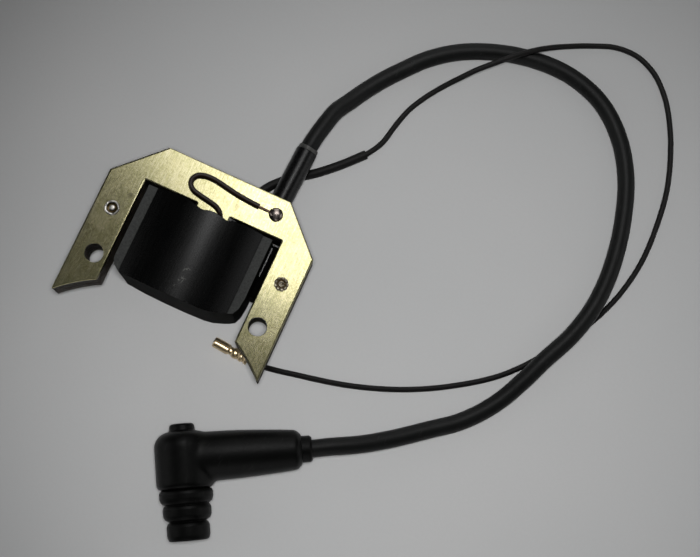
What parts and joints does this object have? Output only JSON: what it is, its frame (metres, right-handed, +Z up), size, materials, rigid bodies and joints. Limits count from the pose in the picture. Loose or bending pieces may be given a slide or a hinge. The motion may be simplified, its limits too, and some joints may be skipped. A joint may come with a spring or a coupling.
{
  "type": "flywheel magneto ignition coil",
  "caption": "Ignition coil on an E-shaped laminated core, with a potted coil, high-tension lead with an elbow plug cap, primary lead with a bullet end, and an earth wire.",
  "frame": {"origin": "middle of the core's outline, on the surface that the coil rests on", "axes": "+Z up, away from the resting surface; the crossbar runs along X with the leads leaving on the +X side; +Y from the pole faces towards the crossbar"},
  "size_m": [0.2091, 0.2616, 0.0405],
  "materials": {
    "lamination_steel": "dark cut edges of stacked sheets",
    "plated_steel": "yellow passivated, brushed",
    "rivet_steel": "bright upset steel",
    "copper": "bare copper, slightly dull",
    "solder": "dull bright solder with brown flux",
    "brown_insulation": "semi-matt dark brown",
    "coil_moulding": "glossy black barrel, matt shoulders",
    "resin": "cast, slightly uneven",
    "bobbin_plastic": "moulded",
    "enamelled_copper": "enamelled wire",
    "wrap_paper": "insulating film",
    "fine_copper": "fine enamelled wire",
    "brass": "bright",
    "sleeve_rubber": "glossy black sleeving",
    "collar_rubber": "greyish cut end of the sleeving",
    "ht_insulation": "black, semi-gloss",
    "cap_moulding": "black, semi-matt",
    "boot_rubber": "black rubber",
    "resistor_ceramic": "glazed",
    "thin_insulation": "black, semi-matt"
  },
  "bodies": {
    "root": {"core_laminations": "lamination_steel", "core_cheek_top": "plated_steel", "core_cheek_bottom": "plated_steel", "rivet_left": "rivet_steel", "rivet_right": "rivet_steel", "earth_pin": "copper", "earth_solder": "solder", "earth_wire_end": "copper", "earth_wire": "brown_insulation", "coil_case": "coil_moulding", "potting_resin": "resin", "bobbin": "bobbin_plastic", "primary_winding": "enamelled_copper", "layer_wrap": "wrap_paper", "secondary_winding": "fine_copper", "ht_contact": "brass", "ht_sleeve": "sleeve_rubber", "ht_sleeve_collar": "collar_rubber", "ht_lead": "ht_insulation", "cap_body": "cap_moulding", "cap_boot": "boot_rubber", "cap_seal": "boot_rubber", "plug_clip": "brass", "cap_resistor": "resistor_ceramic", "cap_spring": "rivet_steel", "lead_screw": "brass", "primary_sleeve": "sleeve_rubber", "primary_lead": "thin_insulation", "bullet_terminal": "brass"}
  },
  "joints": []
}
